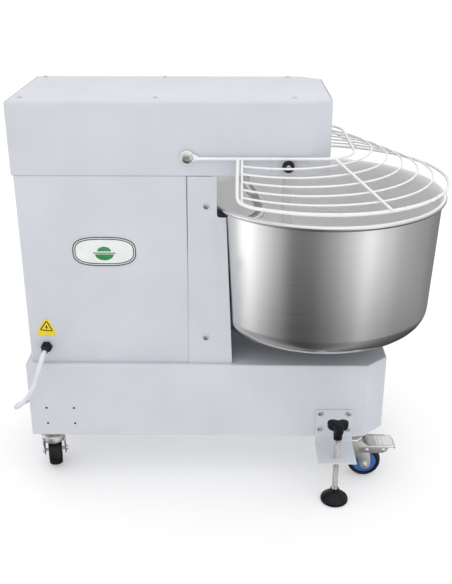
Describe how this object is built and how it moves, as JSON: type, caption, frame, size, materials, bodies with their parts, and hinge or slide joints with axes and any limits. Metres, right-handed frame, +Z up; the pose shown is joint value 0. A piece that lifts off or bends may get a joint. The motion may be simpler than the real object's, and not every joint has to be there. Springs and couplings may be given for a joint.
{
  "type": "spiral dough mixer",
  "caption": "Floor-standing spiral dough mixer with a turning steel bowl, spiral hook, breaker bar and lifting wire guard on castors and levelling feet.",
  "frame": {"origin": "on the floor under the middle of the machine, 450 mm in front of the base's rear face", "axes": "+X forward to the bowl, +Y to the side with the controls, +Z up"},
  "size_m": [0.9536, 0.5444, 0.852],
  "materials": {
    "white_enamel": "fine satin powder coat, cool white",
    "stainless": "brushed round the axis, bright",
    "zinc_plate": "bright zinc plate",
    "dark_steel": "oiled machined steel",
    "cast_iron": "grey machine enamel on cast iron",
    "black_plastic": "black moulded plastic",
    "blue_plastic": "blue moulded plastic",
    "black_rubber": "black moulded rubber",
    "tyre_rubber": "black rubber tyre",
    "cable_sheath": "pale grey PVC",
    "green_plastic": "green button cap",
    "red_plastic": "red button cap"
  },
  "bodies": {
    "frame": {"base_shell": "white_enamel", "base_floor": "white_enamel", "column_shell": "white_enamel", "column_front_panel": "white_enamel", "side_plate_left": "white_enamel", "side_plate_right": "white_enamel", "head_shell": "white_enamel", "head_lid": "white_enamel", "breaker_bar": "stainless", "bowl_bearing_housing": "cast_iron", "bowl_chain": "dark_steel", "drive_belt": "black_rubber", "spiral_bearing_housing": "cast_iron", "gearmotor": "cast_iron", "guard_bolt_left": "zinc_plate", "guard_bumper_left": "black_rubber", "guard_bolt_right": "zinc_plate", "guard_bumper_right": "black_rubber", "foot_bracket_left": "white_enamel", "foot_bracket_right": "white_enamel", "castor_plate_front_left": "zinc_plate", "castor_plate_front_right": "zinc_plate", "castor_plate_rear_left": "zinc_plate", "castor_plate_rear_right": "zinc_plate", "control_panel": "black_plastic", "cable_gland": "black_plastic", "cord": "cable_sheath", "cord_coil": "cable_sheath", "plug": "cable_sheath"},
    "bowl": {"bowl": "stainless", "bowl_hub": "dark_steel", "bowl_sprocket": "dark_steel"},
    "spiral": {"spiral_hook": "stainless", "spiral_pulley": "cast_iron"},
    "drive": {"drive_shaft": "dark_steel", "drive_pulley": "cast_iron"},
    "guard": {"guard": "white_enamel"},
    "foot_left": {"foot_pad_left": "black_plastic"},
    "foot_screw_left": {"foot_screw_left": "zinc_plate", "foot_knob_left": "black_plastic"},
    "foot_right": {"foot_pad_right": "black_plastic"},
    "foot_screw_right": {"foot_screw_right": "zinc_plate", "foot_knob_right": "black_plastic"},
    "castor_front_left": {"castor_fork_front_left": "zinc_plate"},
    "wheel_front_left": {"castor_hub_front_left": "blue_plastic", "castor_tyre_front_left": "tyre_rubber"},
    "pedal_front_left": {"brake_pedal_front_left": "zinc_plate"},
    "castor_front_right": {"castor_fork_front_right": "zinc_plate"},
    "wheel_front_right": {"castor_hub_front_right": "blue_plastic", "castor_tyre_front_right": "tyre_rubber"},
    "pedal_front_right": {"brake_pedal_front_right": "zinc_plate"},
    "castor_rear_left": {"castor_fork_rear_left": "zinc_plate"},
    "wheel_rear_left": {"castor_hub_rear_left": "blue_plastic", "castor_tyre_rear_left": "tyre_rubber"},
    "castor_rear_right": {"castor_fork_rear_right": "zinc_plate"},
    "wheel_rear_right": {"castor_hub_rear_right": "blue_plastic", "castor_tyre_rear_right": "tyre_rubber"},
    "start_button": {"start_button": "green_plastic"},
    "stop_button": {"stop_button": "red_plastic"},
    "timer_knob": {"timer_knob": "black_plastic"}
  },
  "joints": [
    {"name": "bowl_spin", "type": "hinge", "parent": "frame", "child": "bowl", "pos_m": [0.185, 0, 0.4], "axis": [0, 0, 1], "continuous": true},
    {"name": "spiral_spin", "type": "hinge", "parent": "frame", "child": "spiral", "pos_m": [0.018, 0, 0.6], "axis": [0, 0, 1], "continuous": true},
    {"name": "drive_spin", "type": "hinge", "parent": "frame", "child": "drive", "pos_m": [-0.2, 0, 0.5], "axis": [0, 0, 1], "continuous": true},
    {"name": "guard_lift", "type": "hinge", "parent": "frame", "child": "guard", "pos_m": [-0.095, 0, 0.7466], "axis": [0, -1, 0], "range_deg": [0, 65]},
    {"name": "foot_travel_left", "type": "slide", "parent": "frame", "child": "foot_left", "axis": [0, 0, 1], "range_m": [-0.007, 0.035]},
    {"name": "foot_turn_left", "type": "hinge", "parent": "foot_left", "child": "foot_screw_left", "pos_m": [0.218, -0.228, 0.1], "axis": [0, 0, 1], "range_deg": [-1441, 7201]},
    {"name": "foot_travel_right", "type": "slide", "parent": "frame", "child": "foot_right", "axis": [0, 0, 1], "range_m": [-0.007, 0.035]},
    {"name": "foot_turn_right", "type": "hinge", "parent": "foot_right", "child": "foot_screw_right", "pos_m": [0.218, 0.228, 0.1], "axis": [0, 0, 1], "range_deg": [-1441, 7201]},
    {"name": "swivel_front_left", "type": "hinge", "parent": "frame", "child": "castor_front_left", "pos_m": [0.262, -0.126, 0.1], "axis": [0, 0, 1], "continuous": true},
    {"name": "roll_front_left", "type": "hinge", "parent": "castor_front_left", "child": "wheel_front_left", "pos_m": [0.294, -0.126, 0.0375], "axis": [0, 1, 0], "continuous": true},
    {"name": "brake_front_left", "type": "hinge", "parent": "castor_front_left", "child": "pedal_front_left", "pos_m": [0.272, -0.126, 0.08], "axis": [0, 1, 0], "range_deg": [0, 7]},
    {"name": "swivel_front_right", "type": "hinge", "parent": "frame", "child": "castor_front_right", "pos_m": [0.262, 0.126, 0.1], "axis": [0, 0, 1], "continuous": true},
    {"name": "roll_front_right", "type": "hinge", "parent": "castor_front_right", "child": "wheel_front_right", "pos_m": [0.294, 0.126, 0.0375], "axis": [0, 1, 0], "continuous": true},
    {"name": "brake_front_right", "type": "hinge", "parent": "castor_front_right", "child": "pedal_front_right", "pos_m": [0.272, 0.126, 0.08], "axis": [0, 1, 0], "range_deg": [0, 7]},
    {"name": "swivel_rear_left", "type": "hinge", "parent": "frame", "child": "castor_rear_left", "pos_m": [-0.412, -0.124, 0.1], "axis": [0, 0, 1], "continuous": true},
    {"name": "roll_rear_left", "type": "hinge", "parent": "castor_rear_left", "child": "wheel_rear_left", "pos_m": [-0.41865, -0.0927, 0.0375], "axis": [0.9781, 0.2079, 0], "continuous": true},
    {"name": "swivel_rear_right", "type": "hinge", "parent": "frame", "child": "castor_rear_right", "pos_m": [-0.412, 0.124, 0.1], "axis": [0, 0, 1], "continuous": true},
    {"name": "roll_rear_right", "type": "hinge", "parent": "castor_rear_right", "child": "wheel_rear_right", "pos_m": [-0.41865, 0.0927, 0.0375], "axis": [0.9781, -0.2079, 0], "continuous": true},
    {"name": "start_press", "type": "slide", "parent": "frame", "child": "start_button", "axis": [0, -1, 0], "range_m": [0, 0.004], "stiffness_N_per_m": 400},
    {"name": "stop_press", "type": "slide", "parent": "frame", "child": "stop_button", "axis": [0, -1, 0], "range_m": [0, 0.005], "stiffness_N_per_m": 600},
    {"name": "timer_turn", "type": "hinge", "parent": "frame", "child": "timer_knob", "pos_m": [-0.25, 0.17, 0.657], "axis": [0, -1, 0], "range_deg": [0, 300]}
  ],
  "couplings": [
    {"joint": "spiral_spin", "follows": "bowl_spin", "ratio": 9},
    {"joint": "drive_spin", "follows": "bowl_spin", "ratio": 4},
    {"joint": "foot_turn_left", "follows": "foot_travel_left", "rad_per_m": 3590.4},
    {"joint": "foot_turn_right", "follows": "foot_travel_right", "rad_per_m": 3590.4}
  ]
}
